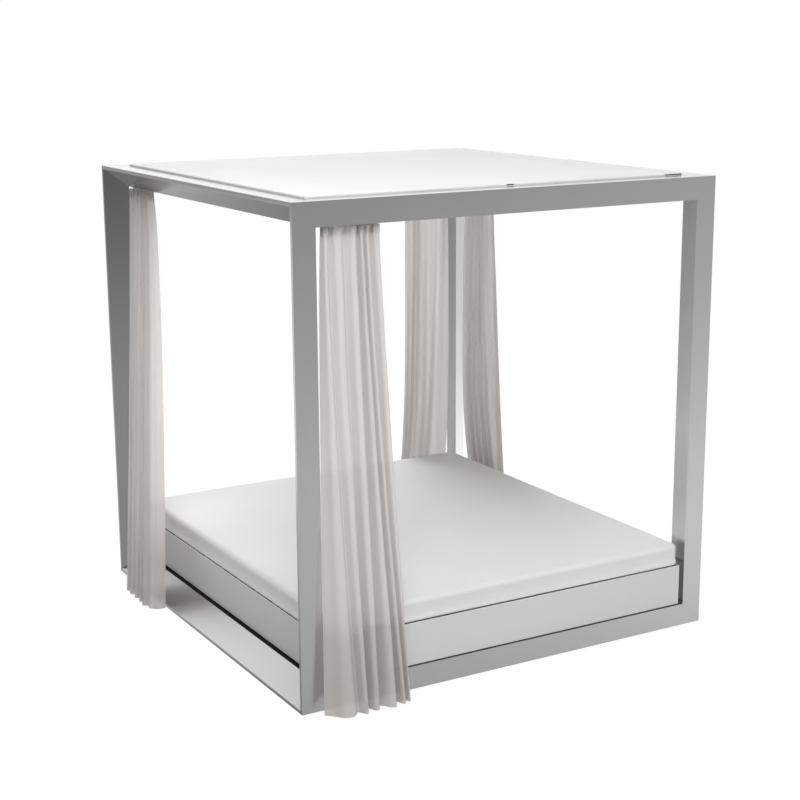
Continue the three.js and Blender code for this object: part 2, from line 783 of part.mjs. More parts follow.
function curtainSheet(sizes, place, top, bottom) {
  const steps = (place.folds.length - 1) * stepsPerFold;
  const ring = 2 * (steps + 1);
  const positions = [];
  for (let row = 0; row <= curtainRows; row += 1) {
    const down = 1 - row / curtainRows;
    const z = THREE.MathUtils.lerp(top, bottom, down);
    const level = curtainLevel(sizes, place, down);
    for (const [x, y] of [...level.front, ...level.back.reverse()]) {
      positions.push(x, y, z);
    }
  }
  const index = [];
  for (let row = 0; row < curtainRows; row += 1) {
    for (let i = 0; i < ring; i += 1) {
      const a = row * ring + i;
      const b = row * ring + (i + 1) % ring;
      index.push(a, b, b + ring, a, b + ring, a + ring);
    }
  }
  const last = curtainRows * ring;
  for (let i = 0; i < steps; i += 1) {
    const across = ring - 1 - i;
    index.push(i, across, i + 1, i + 1, across, across - 1);
    index.push(last + i, last + i + 1, last + across);
    index.push(last + i + 1, last + across - 1, last + across);
  }
  const geometry = new THREE.BufferGeometry();
  geometry.setAttribute('position', new THREE.Float32BufferAttribute(positions, 3));
  geometry.setIndex(index);
  geometry.computeVertexNormals();
  return geometry;
}

function mirroredAcross(geometry) {
  const flipped = geometry.clone().scale(-1, 1, 1);
  const index = flipped.index.array;
  for (let i = 0; i < index.length; i += 3) {
    [index[i], index[i + 1]] = [index[i + 1], index[i]];
  }
  flipped.computeVertexNormals();
  return flipped;
}

function addCurtainSide(part, side) {
  const { turn, end } = sideTurns[side];
  const { parkGap, topWidth } = curtains[side];
  const sizes = sideSizes(turn);
  const middle = -sizes.outerFace + sizes.trackInset;
  const group = new THREE.Group();
  group.rotation.z = turn * Math.PI / 2;
  part.add(group);

  addMesh(group, `track_${side}`, track(middle, sizes.opening), 'track');

  const topStart = -sizes.opening + parkGap;
  const place = {
    ...curtains[side],
    ...edgeShares[side],
    folds: foldShares[side],
    topStart,
    topOut: -sizes.trackInset + tapeThickness / 2 + tapeGap + curtainThickness / 2 + topFoldDepth,
  };
  const top = tapeTop - stemLap - seatGap;
  const sheet = curtainSheet(sizes, place, top, curtainHemClearance);
  addMesh(group, `curtain_${side}`, end > 0 ? mirroredAcross(sheet) : sheet, 'curtain');

  const tapeStart = Math.min(-end * topStart, -end * (topStart + topWidth));
  addMesh(group, `gliders_${side}`, heading(middle, tapeStart, topWidth), 'plastic');
}

// The heading tape with the gliders that it hangs from.
function heading(middle, from, width) {
  const half = tapeThickness / 2;
  const tapeBottom = tapeTop - tapeHeight;
  const tape = box(from, from + width, middle - half, middle + half, tapeBottom, tapeTop);
  const pitch = (width - gliderLength) / (gliderCount - 1);
  const gliders = [];
  for (let i = 0; i < gliderCount; i += 1) {
    const start = from + i * pitch;
    gliders.push(prism('x', start, start + gliderLength, gliderOutline(middle)));
  }
  return joined([tape, ...gliders]);
}

const daybed = new THREE.Group();
addHalfFrame(daybed, 'front', 'left', 'right', 0);
addHalfFrame(daybed, 'back', 'right', 'left', Math.PI);
addBasePanels(daybed);
addJoists(daybed);
addSlats(daybed);
addLedgers(daybed);
addGapClosers(daybed);
addMattress(daybed);
addRoofRails(daybed);
addCrossBars(daybed);
addRoofLedges(daybed);
addRoofFabric(daybed);
for (const side of Object.keys(curtains)) {
  addCurtainSide(daybed, side);
}

export default daybed;
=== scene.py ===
import json
import math

import bmesh
import bpy
from mathutils import Matrix, Vector, noise


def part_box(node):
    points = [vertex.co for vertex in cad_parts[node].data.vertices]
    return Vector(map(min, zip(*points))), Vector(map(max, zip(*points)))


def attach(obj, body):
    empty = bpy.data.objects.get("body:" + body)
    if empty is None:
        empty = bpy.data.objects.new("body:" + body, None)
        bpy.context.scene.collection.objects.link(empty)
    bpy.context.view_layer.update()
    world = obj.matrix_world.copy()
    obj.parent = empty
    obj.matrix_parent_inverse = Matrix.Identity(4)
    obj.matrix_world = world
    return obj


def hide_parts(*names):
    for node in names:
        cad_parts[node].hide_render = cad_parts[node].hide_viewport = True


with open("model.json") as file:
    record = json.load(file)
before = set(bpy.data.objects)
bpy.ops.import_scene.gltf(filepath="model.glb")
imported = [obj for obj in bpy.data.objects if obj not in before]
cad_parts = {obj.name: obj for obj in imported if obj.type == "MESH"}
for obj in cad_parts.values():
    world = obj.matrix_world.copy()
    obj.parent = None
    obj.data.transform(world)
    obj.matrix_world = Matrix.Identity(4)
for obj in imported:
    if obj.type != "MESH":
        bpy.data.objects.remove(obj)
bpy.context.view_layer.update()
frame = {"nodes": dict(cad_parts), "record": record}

scene = bpy.context.scene
nodes = frame["nodes"]

MM = 0.001


def lerp(a, b, t):
    return a + (b - a) * t


def eased(t):
    return t * t * (3 - 2 * t)


# Camera, solved from the perspective of the frame's edges

CAMERA_PLACE = (-3.645, -6.3528, 2.6735)
CAMERA_YAW = 30.039  # in degrees, from the Y axis towards X
CAMERA_PITCH = 13.044  # downwards
CAMERA_ROLL = 0.347
CAMERA_LENS = 71.3  # in millimetres, like the sensor
SENSOR_WIDTH = 36
VIEW_DEPTH = 200  # in metres


def add_camera():
    yaw, pitch, roll = (math.radians(a) for a in (CAMERA_YAW, CAMERA_PITCH, CAMERA_ROLL))
    forward = Vector((
        math.sin(yaw) * math.cos(pitch),
        math.cos(yaw) * math.cos(pitch),
        -math.sin(pitch),
    ))
    right = Vector((math.cos(yaw), -math.sin(yaw), 0))
    down = forward.cross(right)
    right, down = (
        right * math.cos(roll) + down * math.sin(roll),
        down * math.cos(roll) - right * math.sin(roll),
    )
    camera = bpy.data.objects.new("camera", bpy.data.cameras.new("camera"))
    scene.collection.objects.link(camera)
    turn = Matrix((right, -down, -forward)).transposed().to_4x4()
    camera.matrix_world = Matrix.Translation(CAMERA_PLACE) @ turn
    camera.data.sensor_width = SENSOR_WIDTH
    camera.data.lens = CAMERA_LENS
    camera.data.clip_end = VIEW_DEPTH
    scene.camera = camera


# Node helpers

class Graph:
    """Short ways to add nodes to a tree."""

    def __init__(self, tree):
        self.tree = tree

    def node(self, kind, *inputs, **settings):
        """A node with its settings and, in order, its inputs as values or as linked outputs."""
        made = self.tree.nodes.new("ShaderNode" + kind)
        for key, value in settings.items():
            setattr(made, key, value)
        for socket, value in zip(made.inputs, inputs):
            if isinstance(value, bpy.types.NodeSocket):
                self.link(value, socket)
            else:
                socket.default_value = value
        return made

    def link(self, output, target):
        self.tree.links.new(output, target)

    def math(self, operation, *inputs):
        return self.node("Math", *inputs, operation=operation).outputs["Value"]

    def spread(self, source, low, high, start=0.0, end=1.0):
        """The range from start to end, spread from low to high."""
        return self.node("MapRange", source, start, end, low, high).outputs["Result"]

    def blend(self, share, first, second):
        return self.node("MixShader", share, first, second).outputs["Shader"]


class Shader(Graph):
    """A material with its Principled shader, and short ways to texture it."""

    def __init__(self, name, color, roughness, metallic=0.0, **sockets):
        self.material = bpy.data.materials.new(name)
        self.material.use_nodes = True
        super().__init__(self.material.node_tree)
        self.surface = self.tree.nodes["Principled BSDF"]
        self.set("Base Color", (*color, 1))
        self.set("Roughness", roughness)
        self.set("Metallic", metallic)
        for socket, value in sockets.items():
            self.set(socket.replace("_", " "), value)
        self.place = self.node("TexCoord").outputs["Object"]

    def set(self, socket, value):
        self.surface.inputs[socket].default_value = value

    def cloth_place(self):
        """The place on the flat cloth, in metres along its own U and V."""
        return self.node("UVMap").outputs["UV"]

    def scaled(self, scale, source=None):
        mapping = self.node("Mapping")
        mapping.inputs["Scale"].default_value = scale
        self.link(source or self.place, mapping.inputs["Vector"])
        return mapping.outputs["Vector"]

    def noise(self, scale, detail=3, stretch=(1, 1, 1), source=None):
        made = self.node("TexNoise")
        made.inputs["Scale"].default_value = scale
        made.inputs["Detail"].default_value = detail
        self.link(self.scaled(stretch, source), made.inputs["Vector"])
        return made.outputs["Fac"]

    def wave(self, scale, direction, source, distortion=0):
        made = self.node("TexWave", wave_type="BANDS", bands_direction=direction)
        made.inputs["Scale"].default_value = scale
        made.inputs["Distortion"].default_value = distortion
        self.link(source, made.inputs["Vector"])
        return made.outputs["Fac"]

    def mix(self, factor, first, second):
        """A mix of two colours, each a value or a linked output."""
        made = self.node("Mix", data_type="RGBA")
        self.link(factor, made.inputs[0])
        for socket, value in ((made.inputs[6], first), (made.inputs[7], second)):
            if isinstance(value, tuple):
                socket.default_value = (*value, 1)
            else:
                self.link(value, socket)
        return made.outputs[2]

    def color(self, output):
        self.link(output, self.surface.inputs["Base Color"])

    def roughness(self, output):
        self.link(output, self.surface.inputs["Roughness"])

    def bump(self, height, strength, distance):
        made = self.node("Bump")
        made.inputs["Strength"].default_value = strength
        made.inputs["Distance"].default_value = distance
        self.link(height, made.inputs["Height"])
        self.link(made.outputs["Normal"], self.surface.inputs["Normal"])


# Materials

FRAME_METAL = (0.63, 0.634, 0.638)
WHITE_CLOTH = (0.83, 0.83, 0.825)
CURTAIN_CREST = (0.7, 0.675, 0.654)
CURTAIN_DRIFT = (0.68, 0.655, 0.634)
CURTAIN_THROUGH = (0.78, 0.752, 0.73)
CURTAIN_STITCH = (0.6, 0.577, 0.557)
CURTAIN_WEAVE = 190  # scales of the weaves: the larger, the finer
MATTRESS_WEAVE = 260
ROOF_WEAVE = 150
CURTAIN_SPREADS = 0.24  # the share of its light that spreads out behind it
CURTAIN_OPEN = 0.1  # the share that passes straight through
# Painted shade in the curtains' valleys: how near other cloth has to be, and how dark the colour
# gets there
VALLEY_REACH = 0.04  # how near cloth shades other cloth
VALLEY_PAINTED_SHADE = 0.72
HEM_HEIGHT = 0.056  # the line of stitches over the hem, from the floor
HEM_LINE = 0.0012  # half the width of that line
HEM_STITCHES = 38  # how close together its stitches are


def tinted(color, factor):
    return tuple(min(c * factor, 1) for c in color)


def anodised(name, color, roughness, along):
    """Satin metal with the fine draw lines of an extruded profile along one axis."""
    shader = Shader(name, color, roughness, metallic=1)
    drawn_out = tuple(0.01 if axis == along else 1 for axis in "xyz")
    lines = shader.noise(900, detail=2, stretch=drawn_out)
    cloud = shader.noise(3.5, detail=4)
    shader.color(shader.mix(cloud, tinted(color, 0.98), tinted(color, 1.02)))
    shader.roughness(shader.math(
        "ADD",
        shader.spread(cloud, roughness - 0.02, roughness + 0.02),
        shader.spread(lines, -0.02, 0.02),
    ))
    shader.bump(lines, strength=0.04, distance=0.0001)
    return shader.material


def lacquer(name, color, roughness):
    """Powder coat: an even colour with a very fine orange-peel."""
    shader = Shader(name, color, roughness)
    cloud = shader.noise(2.2)
    shader.color(shader.mix(cloud, tinted(color, 0.965), tinted(color, 1.02)))
    peel = shader.noise(420, detail=2)
    shader.roughness(shader.spread(peel, roughness - 0.04, roughness + 0.05))
    shader.bump(peel, strength=0.08, distance=0.0004)
    return shader.material


def cast(name, color):
    shader = Shader(name, color, roughness=0.5, metallic=1)
    grain = shader.noise(260, detail=4)
    shader.color(shader.mix(grain, tinted(color, 0.85), color))
    shader.roughness(shader.spread(grain, 0.42, 0.6))
    shader.bump(grain, strength=0.25, distance=0.0008)
    return shader.material


def plastic(name, color, roughness):
    shader = Shader(name, color, roughness)
    grain = shader.noise(600, detail=2)
    shader.color(shader.mix(shader.noise(8, detail=2), tinted(color, 0.95), color))
    shader.roughness(shader.spread(grain, roughness - 0.05, roughness + 0.08))
    shader.bump(grain, strength=0.1, distance=0.0003)
    return shader.material


def timber(name, dark, light):
    """Boards along X, with the grain drawn out along them."""
    shader = Shader(name, light, roughness=0.6)
    rings = shader.wave(9, "Y", shader.scaled((0.25, 1, 1)), distortion=6)
    fibre = shader.noise(240, detail=5, stretch=(0.03, 1, 1))
    grain = shader.math("MULTIPLY", rings, fibre)
    shader.color(shader.mix(shader.spread(grain, 0, 1, start=0.1, end=0.6), dark, light))
    shader.roughness(shader.spread(fibre, 0.5, 0.72))
    shader.bump(fibre, strength=0.2, distance=0.0008)
    return shader.material


def rubber(name, color):
    shader = Shader(name, color, roughness=0.85)
    grain = shader.noise(500)
    shader.color(shader.mix(grain, tinted(color, 0.6), color))
    shader.bump(grain, strength=0.3, distance=0.0006)
    return shader.material


def weave(shader, uv, scale, strength, distance):
    """A plain weave in relief. Returns how its threads thicken and thin."""
    warp = shader.wave(scale, "X", uv)
    weft = shader.wave(scale, "Y", uv)
    slub = shader.noise(160, stretch=(1, 0.15, 1), source=uv)
    threads = shader.math("MAXIMUM", warp, weft)
    threads = shader.math("MULTIPLY", threads, shader.spread(slub, 0.85, 1))
    shader.bump(threads, strength, distance)
    return slub


def hem_stitches(shader, uv):
    """Where the stitches over a curtain's hem are: a dashed line along it."""
    height = shader.node("SeparateXYZ", uv).outputs["Y"]
    away = shader.math("ABSOLUTE", shader.math("SUBTRACT", height, HEM_HEIGHT))
    line = shader.math("LESS_THAN", away, HEM_LINE)
    dashes = shader.math("GREATER_THAN", shader.wave(HEM_STITCHES, "X", uv), 0.35)
    return shader.math("MULTIPLY", line, dashes)


def curtain_cloth():
    """Thin cloth that lets some light through."""
    shader = Shader("curtain_cloth", CURTAIN_CREST, 0.92, Sheen_Weight=0.15, Sheen_Roughness=0.5)
    uv = shader.cloth_place()
    weave(shader, uv, CURTAIN_WEAVE, strength=0.06, distance=0.0003)
    drift = shader.noise(1.4, stretch=(5, 0.25, 1), source=uv)
    tone = shader.mix(shader.spread(drift, 0, 1, start=0.3, end=0.7), CURTAIN_DRIFT, CURTAIN_CREST)
    # Painted shade: the colour is darker in the valleys than on the crests, by ambient occlusion,
    # where the cloth shades itself.
    hollow = shader.node("AmbientOcclusion", samples=8, only_local=True)
    hollow.inputs["Distance"].default_value = VALLEY_REACH
    openness = shader.spread(hollow.outputs["AO"], 0, 1, start=0.4, end=0.9)
    tone = shader.mix(openness, tinted(CURTAIN_CREST, VALLEY_PAINTED_SHADE), tone)
    shader.color(shader.mix(hem_stitches(shader, uv), tone, CURTAIN_STITCH))
    through = shader.node("BsdfTranslucent", (*CURTAIN_THROUGH, 1)).outputs["BSDF"]
    clear = shader.node("BsdfTransparent").outputs["BSDF"]
    body = shader.blend(CURTAIN_SPREADS, shader.surface.outputs["BSDF"], through)
    whole = shader.blend(CURTAIN_OPEN, body, clear)
    shader.link(whole, shader.tree.nodes["Material Output"].inputs["Surface"])
    return shader.material


def coated_cloth(name, color, scale):
    """Outdoor upholstery cloth with a coating that half fills its weave."""
    shader = Shader(name, color, 0.72, Sheen_Weight=0.08, Sheen_Roughness=0.4)
    slub = weave(shader, shader.cloth_place(), scale, strength=0.12, distance=0.0004)
    cloud = shader.spread(shader.noise(1.8, detail=4), 0, 1, start=0.3, end=0.7)
    shader.color(shader.mix(cloud, tinted(color, 0.975), tinted(color, 1.015)))
    shader.roughness(shader.spread(slub, 0.66, 0.8))
    return shader.material


def dress(thing, material):
    thing.data.materials.clear()
    thing.data.materials.append(material)


# Meshes

WELD_DISTANCE = 1e-5
FLAT_ANGLE = math.radians(0.5)  # faces that turn by less are joined into one
EDGE_ANGLE = math.radians(6)  # edges that turn by more are rounded
EDGE_SEGMENTS = 3
EDGE_WIDTHS = {"frame": 0.0015, "panel": 0.0012}


def new_piece(name, mesh, material, body):
    piece = bpy.data.objects.new(name, mesh)
    scene.collection.objects.link(piece)
    dress(piece, material)
    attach(piece, body)
    return piece


def keep_modifiers(piece):
    """Turns a piece's modifiers into its mesh."""
    graph = bpy.context.evaluated_depsgraph_get()
    made = bpy.data.meshes.new_from_object(piece.evaluated_get(graph))
    piece.modifiers.clear()
    piece.data = made


def soften_edges(node, material, slot):
    """Adds a copy of a node with its edges rounded, which stands for the node."""
    edit = bmesh.new()
    edit.from_mesh(nodes[node].data)
    bmesh.ops.remove_doubles(edit, verts=edit.verts, dist=WELD_DISTANCE)
    bmesh.ops.dissolve_limit(edit, angle_limit=FLAT_ANGLE, verts=edit.verts, edges=edit.edges)
    mesh = bpy.data.meshes.new(node + "_body")
    edit.to_mesh(mesh)
    edit.free()
    piece = new_piece(node + "_finished", mesh, material, "frame")
    bevel = piece.modifiers.new("edges", "BEVEL")
    bevel.width = EDGE_WIDTHS[slot]
    bevel.segments = EDGE_SEGMENTS
    bevel.limit_method = "ANGLE"
    bevel.angle_limit = EDGE_ANGLE
    for face in mesh.polygons:
        face.use_smooth = True
    piece.modifiers.new("shading", "WEIGHTED_NORMAL").weight = 100
    keep_modifiers(piece)
    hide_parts(node)


def grid_mesh(name, rows, uvs, closed=False):
    """A mesh through rows of points that all have the same length."""
    count = len(rows[0])
    mesh = bpy.data.meshes.new(name)
    faces = []
    for r in range(len(rows) - 1):
        for i in range(count if closed else count - 1):
            j = (i + 1) % count
            faces.append((r * count + i, r * count + j, (r + 1) * count + j, (r + 1) * count + i))
    mesh.from_pydata([p for row in rows for p in row], [], faces)
    layer = mesh.uv_layers.new(name="cloth")
    flat_uvs = [uv for row in uvs for uv in row]
    for loop in mesh.loops:
        layer.data[loop.index].uv = flat_uvs[loop.vertex_index]
    for face in mesh.polygons:
        face.use_smooth = True
    mesh.update()
    return mesh


# Curtains, in millimetres until they are placed. Each is worked out as if it hung at the front
# and is then turned to its side.

FRAME = 2060  # each side of the frame
FACE = 100  # the width of its members
REVEAL = 92  # the depth of its front and back rings
SIDE_TRACK = 11.3  # from a side beam's inner face to the middle of its track
SHEET_CLEAR = 3.1  # from the track's middle to the sheet's nearest fold
SHEET_TOP = 1954.2
SHEET_BOTTOM = 6
TOP_FOLD = 11  # how far the folds reach to either side at the heading
FOLD_STEPS = 10
FOLD_ROUNDNESS = 0.75
FOLD_LEAN = 1.2  # how late the folds change place on their way down
FOLD_GROWTH = 0.6  # how early they deepen
BULGE = 0.08  # how far crests lean sideways, as a share of a fold
HEADING = 46  # how far down the gathers of the heading reach
PLEAT = 2.6  # half their depth
PLEATS_PER_FOLD = 1.9
LEVELS = 120
LEVEL_CROWDING = 2.2  # how much closer together the levels are in the heading
LEVEL_EVENNESS = 0.55  # how far they keep an even distance all the same

# Irregular shifts of the cloth: their size, how often they change in a fold, and over what length
# down the sheet
UNEVEN = {
    "wander": (1, 1, 90),
    "ruffle": (1.6, 4, 16),
    "drape": (2.6, 0.9, 420),
    "crease": (0.3, 1.7, 200),
    "dip": (1.5, 2.2, 900),
}
UNEVEN_GAP = 5  # between their places in the noise, so that none repeats another
DRAPE_START = 260  # how far down the drape and the creases have their full size
CREASE_START = 60

# Crests and valleys, as place and reach at the heading and then at the hem: shares of the
# sheet's width and of the fold depth there
WIDE_FOLDS = [
    (0, -1, 0, -1.2), (0.05, 0.6, 0.24, 0.6), (0.12, -0.9, 0.35, -0.15), (0.25, 1, 0.42, 0.75),
    (0.39, -0.6, 0.47, -0.7), (0.53, 1, 0.565, 0.5), (0.6, -1, 0.62, -0.6), (0.67, 0.8, 0.76, 0.7),
    (0.7, -0.7, 0.83, -0.5), (0.76, 0.9, 0.895, 0.45), (0.81, -1, 0.93, -0.5), (0.93, 1, 0.97, 0.2),
    (1, -0.7, 1, -0.7),
]
EVEN_FOLDS = [
    (0, -1, 0, -1.2), (0.06, 1, 0.06, 0.6), (0.14, -0.9, 0.14, -0.8), (0.22, 1, 0.22, 0.7),
    (0.31, -0.9, 0.31, -0.7), (0.4, 0.9, 0.4, 0.8), (0.49, -1, 0.49, -0.8), (0.57, 0.9, 0.57, 0.7),
    (0.65, -0.9, 0.65, -0.8), (0.73, 1, 0.73, 1), (0.8, -0.4, 0.8, 0.2), (0.88, 0.9, 0.88, 0.5),
    (0.97, 0.2, 0.97, -0.4), (1, -0.9, 1, -2),
]

# Each curtain: its quarter turns from the front, the end of the track it hangs at, its distance
# from there and its width at the heading; how far its two side edges shift on the way down and
# how far out its hem stands, each with how late this comes; the depth and places of its folds;
# the seed of its unevenness; and the width of its cloth laid flat
CURTAINS = {
    "front": dict(turn=0, end=-1, park=42, width=254, shifts=(-68, 56), slants=(0.8, 1.2),
                  hem_out=100, flares=(1, 1), hem_fold=40, folds=WIDE_FOLDS, seed=3, cut=550),
    "left": dict(turn=-1, end=-1, park=25, width=268, shifts=(166, 250), slants=(1, 0.8),
                 hem_out=66, flares=(1.1, 1.1), hem_fold=27, folds=EVEN_FOLDS, seed=11, cut=540),
    "back": dict(turn=2, end=-1, park=28, width=266, shifts=(0, 0), slants=(1, 1),
                 hem_out=100, flares=(5, 5), hem_fold=40, folds=WIDE_FOLDS, seed=23, cut=530),
    "right": dict(turn=1, end=1, park=106, width=256, shifts=(-45, -92), slants=(2, 2),
                  hem_out=66, flares=(5, 1.2), hem_fold=27, folds=EVEN_FOLDS, seed=37, cut=490),
}


def uneven(kind, seed, across, below):
    size, per_fold, length = UNEVEN[kind]
    layer = list(UNEVEN).index(kind) * UNEVEN_GAP
    return size * noise.noise(Vector((seed + across * per_fold, below / length, layer)))


def fold_share(t, rising):
    """How far a fold has come from one turn to the next: narrow in valleys, broad on crests."""
    near = t if rising else 1 - t
    share = lerp(eased(near), math.sin(math.pi / 2 * near), FOLD_ROUNDNESS)
    return share if rising else 1 - share


def curtain_level(c, down):
    """The cloth at one level, as (place among the folds, place along the track, distance out).

    The level is a share of the way down from the heading to the hem.
    """
    on_side = c["turn"] % 2 == 1
    opening = FRAME / 2 - (REVEAL if on_side else FACE)
    inset = FACE + SIDE_TRACK if on_side else REVEAL / 2
    start = -opening + c["park"]
    top_out = -inset + SHEET_CLEAR + TOP_FOLD
    shift = [amount * down ** slant for amount, slant in zip(c["shifts"], c["slants"])]
    lean, growth = down ** FOLD_LEAN, down ** FOLD_GROWTH
    turns = [
        (lerp(top, hem, lean), lerp(top_reach * TOP_FOLD, hem_reach * c["hem_fold"], growth))
        for top, top_reach, hem, hem_reach in c["folds"]
    ]
    line = []
    for k, ((s0, r0), (s1, r1)) in enumerate(zip(turns, turns[1:])):
        last = k == len(turns) - 2
        for i in range(FOLD_STEPS + last):
            t = i / FOLD_STEPS
            share = lerp(s0, s1, t)
            flare = down ** lerp(*c["flares"], min(max(share, 0), 1))
            bulge = BULGE * (s1 - s0) * math.sin(2 * math.pi * t)
            along = start + c["width"] * (share + bulge) + lerp(*shift, share)
            out = lerp(top_out, c["hem_out"], flare) + lerp(r0, r1, fold_share(t, r1 > r0))
            line.append((k + t, along, out))
    return line


def curtain_row(c, down):
    """Points of the cloth at one level, with its gathers and its irregular drape."""
    z = lerp(SHEET_TOP, SHEET_BOTTOM, down)
    below = SHEET_TOP - z
    line = curtain_level(c, down)
    gather = math.exp(-((below / HEADING) ** 2))
    row = []
    for i, (k, along, out) in enumerate(line):
        before, after = line[max(i - 1, 0)], line[min(i + 1, len(line) - 1)]
        tangent = Vector((after[1] - before[1], after[2] - before[2])).normalized()
        wander = uneven("wander", c["seed"], k, below)
        pleat = 1 + math.sin(2 * math.pi * (k * PLEATS_PER_FOLD + wander))
        gathers = gather * (PLEAT * pleat + uneven("ruffle", c["seed"], k, below))
        # The sheet's side edges stay straight.
        calm = min(1, k, line[-1][0] - k)
        drape = min(1, below / DRAPE_START) * uneven("drape", c["seed"], k, below)
        crease = min(1, below / CREASE_START) * uneven("crease", c["seed"], k, below)
        push = gathers + calm * (drape + crease)
        dip = max(gather * uneven("dip", c["seed"], k, 0), 0)
        row.append(Vector((
            -c["end"] * (along - tangent.y * push),
            -FRAME / 2 - out - tangent.x * push,
            z - dip,
        )))
    return row


def running_lengths(points):
    lengths = [0.0]
    for a, b in zip(points, points[1:]):
        lengths.append(lengths[-1] + (b - a).length)
    return lengths


def add_curtain(side, material):
    c = CURTAINS[side]
    turn = Matrix.Rotation(c["turn"] * math.pi / 2, 4, "Z") @ Matrix.Scale(MM, 4)
    rows, uvs = [], []
    for level in range(LEVELS + 1):
        share = level / LEVELS
        down = lerp(share ** LEVEL_CROWDING, share, LEVEL_EVENNESS)
        row = [turn @ p for p in curtain_row(c, down)]
        if c["end"] > 0:
            row.reverse()
        rows.append(row)
        uvs.append([(along, p.z) for along, p in zip(running_lengths(row), row)])
    mesh = grid_mesh("curtain_" + side, rows, uvs)
    piece = new_piece("curtain_" + side + "_cloth", mesh, material, side + "_curtain")
    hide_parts("curtain_" + side)


# Mattress and roof, built as rings inside one another

def quarter(count):
    """Angles over a quarter circle, both ends included."""
    return [math.pi / 2 * i / (count - 1) for i in range(count)]


def shares(count):
    """Even shares between 0 and 1, both left out."""
    return [i / count for i in range(1, count)]


def direction(angle):
    return Vector((math.cos(angle), math.sin(angle)))


def rounded_rectangle(half_x, half_y, radius, corner_steps, side_steps, draw=0.0):
    """One ring, anticlockwise; its sides are drawn in between the corners."""
    points = []
    corners = ((1, 1), (-1, 1), (-1, -1), (1, -1))
    for corner, (sx, sy) in enumerate(corners):
        centre = Vector((sx * (half_x - radius), sy * (half_y - radius)))
        for i in range(corner_steps + 1):
            angle = (corner + i / corner_steps) * math.pi / 2
            points.append(centre + radius * direction(angle))
        outward = direction((corner + 1) * math.pi / 2)
        nx, ny = corners[(corner + 1) % 4]
        start = points[-1].copy()
        end = Vector((nx * (half_x - radius), ny * (half_y - radius))) + radius * outward
        for t in shares(side_steps):
            points.append(start.lerp(end, t) - outward * draw * math.sin(math.pi * t))
    return points


def close_rings(mesh, above):
    """Fills the open rings above a height with flat faces."""
    edit = bmesh.new()
    edit.from_mesh(mesh)
    rims = [e for e in edit.edges if e.is_boundary and e.verts[0].co.z > above]
    bmesh.ops.holes_fill(edit, edges=rims, sides=0)
    bmesh.ops.recalc_face_normals(edit, faces=edit.faces)
    edit.to_mesh(mesh)
    edit.free()
    for face in mesh.polygons:
        face.use_smooth = len(face.vertices) == 4


COVER_PRESSURE = 4
COVER_MASS = 0.3
COVER_QUALITY = 4
COVER_FRAMES = 20  # how long the pressure acts


def puff_up(piece, held_height, reach):
    """Swells a cover by an even pressure from inside, with its underside held.
    """
    held = piece.vertex_groups.new(name="held")
    flat = [v.co.copy() for v in piece.data.vertices]
    held.add([i for i, place in enumerate(flat) if place.z < held_height], 1, "REPLACE")
    cloth = piece.modifiers.new("cover", "CLOTH")
    cloth.settings.quality = COVER_QUALITY
    cloth.settings.mass = COVER_MASS
    cloth.settings.vertex_group_mass = held.name
    cloth.settings.use_pressure = True
    cloth.settings.uniform_pressure_force = COVER_PRESSURE
    cloth.settings.effector_weights.gravity = 0
    cloth.collision_settings.use_collision = False
    cloth.point_cache.frame_start, cloth.point_cache.frame_end = 1, COVER_FRAMES
    for step in range(1, COVER_FRAMES + 1):
        scene.frame_set(step)
    keep_modifiers(piece)
    scene.frame_set(1)
    # No point moves further than the reach.
    for vertex, before in zip(piece.data.vertices, flat):
        way = vertex.co - before
        if way.length:
            vertex.co = before + way * (reach * math.tanh(way.length / reach) / way.length)
    piece.modifiers.new("rounds", "SUBSURF").levels = 1
    keep_modifiers(piece)


MATTRESS_EDGE = 0.024  # the radius of its upper edges, of its lower edges and of its corners
MATTRESS_UNDER_EDGE = 0.012
MATTRESS_CORNER = 0.03
MATTRESS_DRAW = 0.0015  # how far its sides are drawn in
MATTRESS_CROWN = 0.005  # how much its middle is higher than its edges
MATTRESS_CROWN_RISE = 1.6  # how steeply it rises to that
MATTRESS_WAVER = 0.0011  # its unevenness, and how fast that changes
WAVER_ACROSS, WAVER_UP = 3, 9
MATTRESS_SWELL = 0.004  # how far the pressure moves its cover at most
UNDER_RINGS, SIDE_RINGS, EDGE_RINGS, TOP_RINGS = 4, 5, 8, 26
MATTRESS_CORNER_STEPS, MATTRESS_SIDE_STEPS = 6, 40


